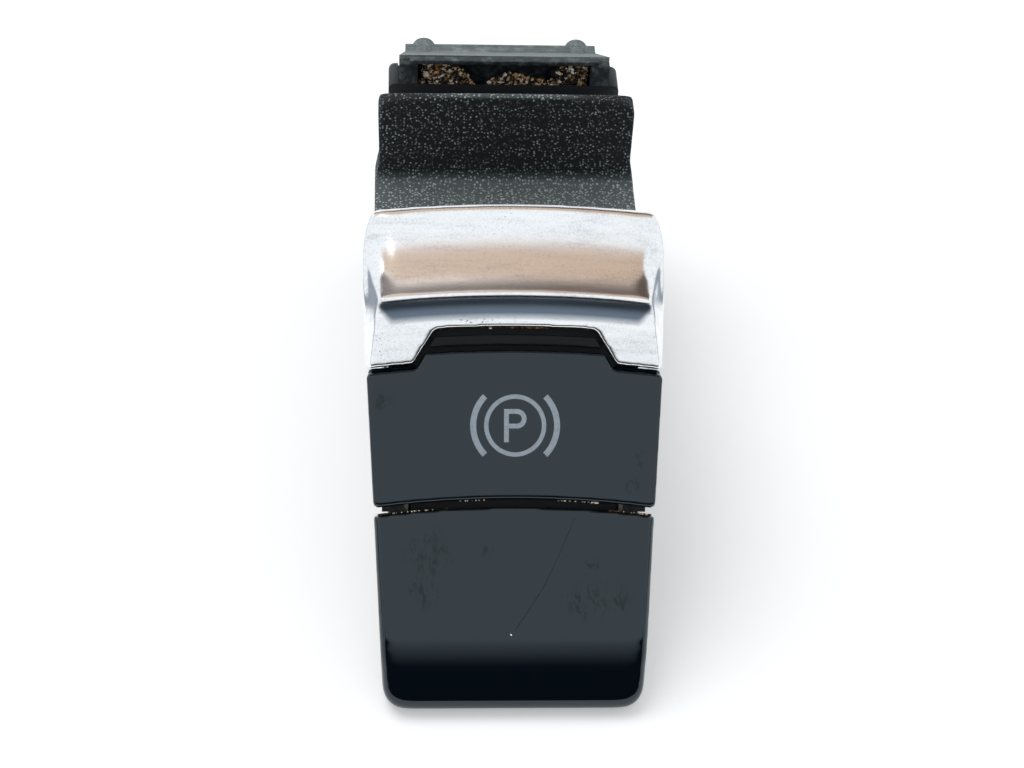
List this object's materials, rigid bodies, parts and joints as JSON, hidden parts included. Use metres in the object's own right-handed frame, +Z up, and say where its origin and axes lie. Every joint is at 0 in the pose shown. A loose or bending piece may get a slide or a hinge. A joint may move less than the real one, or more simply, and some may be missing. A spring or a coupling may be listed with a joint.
{
  "type": "parking brake lever switch",
  "caption": "Console switch for a parking brake: gloss panels on a sloped housing, a chrome finger lever that pulls up on a pivot, a grained finger well and a rear plug socket.",
  "frame": {"origin": "on the flat base, straight below the pivot of the lever", "axes": "+X to the right of the driver, +Y from the toe to the rear, +Z up"},
  "size_m": [0.0418, 0.1027, 0.0498],
  "materials": {
    "gloss_black": "polished piano black",
    "satin_chrome": "satin chrome plate on a moulded shell",
    "smoked_lens": "smoked translucent",
    "grained_black": "soft grain",
    "housing_black": "fine spark-eroded texture",
    "tower_black": "satin moulded",
    "steel": "bright",
    "acetal": "natural acetal",
    "milky": "milky",
    "clear": "clear moulded",
    "board_green": "solder resist",
    "chip_black": "epoxy",
    "led_white": "phosphor",
    "magnet_grey": "sintered",
    "pad_rubber": "matt",
    "contact_brass": "tinned edge"
  },
  "bodies": {
    "base": {"housing": "housing_black", "base_cover": "housing_black", "cover_screws": "steel", "lower_panel": "gloss_black", "finger_well": "grained_black", "rear_frame": "tower_black", "rear_hood": "tower_black", "circuit_board": "board_green", "hall_sensors": "chip_black", "status_leds": "led_white", "light_guide": "clear", "stop_pads": "pad_rubber", "connector_shroud": "housing_black", "connector_pins": "contact_brass", "console_clips": "steel", "pivot_pin": "steel", "pivot_bushes": "acetal", "front_spring": "steel", "rear_spring": "steel"},
    "lever": {"lever_carrier": "housing_black", "upper_panel": "gloss_black", "pull_cap": "satin_chrome", "indicator_lens": "smoked_lens", "symbol_diffuser": "milky"},
    "slider": {"contact_slider": "acetal", "sensor_magnet": "magnet_grey"}
  },
  "joints": [
    {"name": "lever_pivot", "type": "hinge", "parent": "base", "child": "lever", "pos_m": [0, 0, 0.01849], "axis": [1, 0, 0], "range_deg": [-3, 7], "stiffness_Nm_per_rad": 1.5, "deforming": ["front_spring", "rear_spring"]},
    {"name": "slider_travel", "type": "slide", "parent": "base", "child": "slider", "axis": [0, 1, 0], "range_m": [-0.00049, 0.00112]}
  ],
  "couplings": [
    {"joint": "slider_travel", "follows": "lever_pivot", "m_per_rad": 0.009}
  ]
}
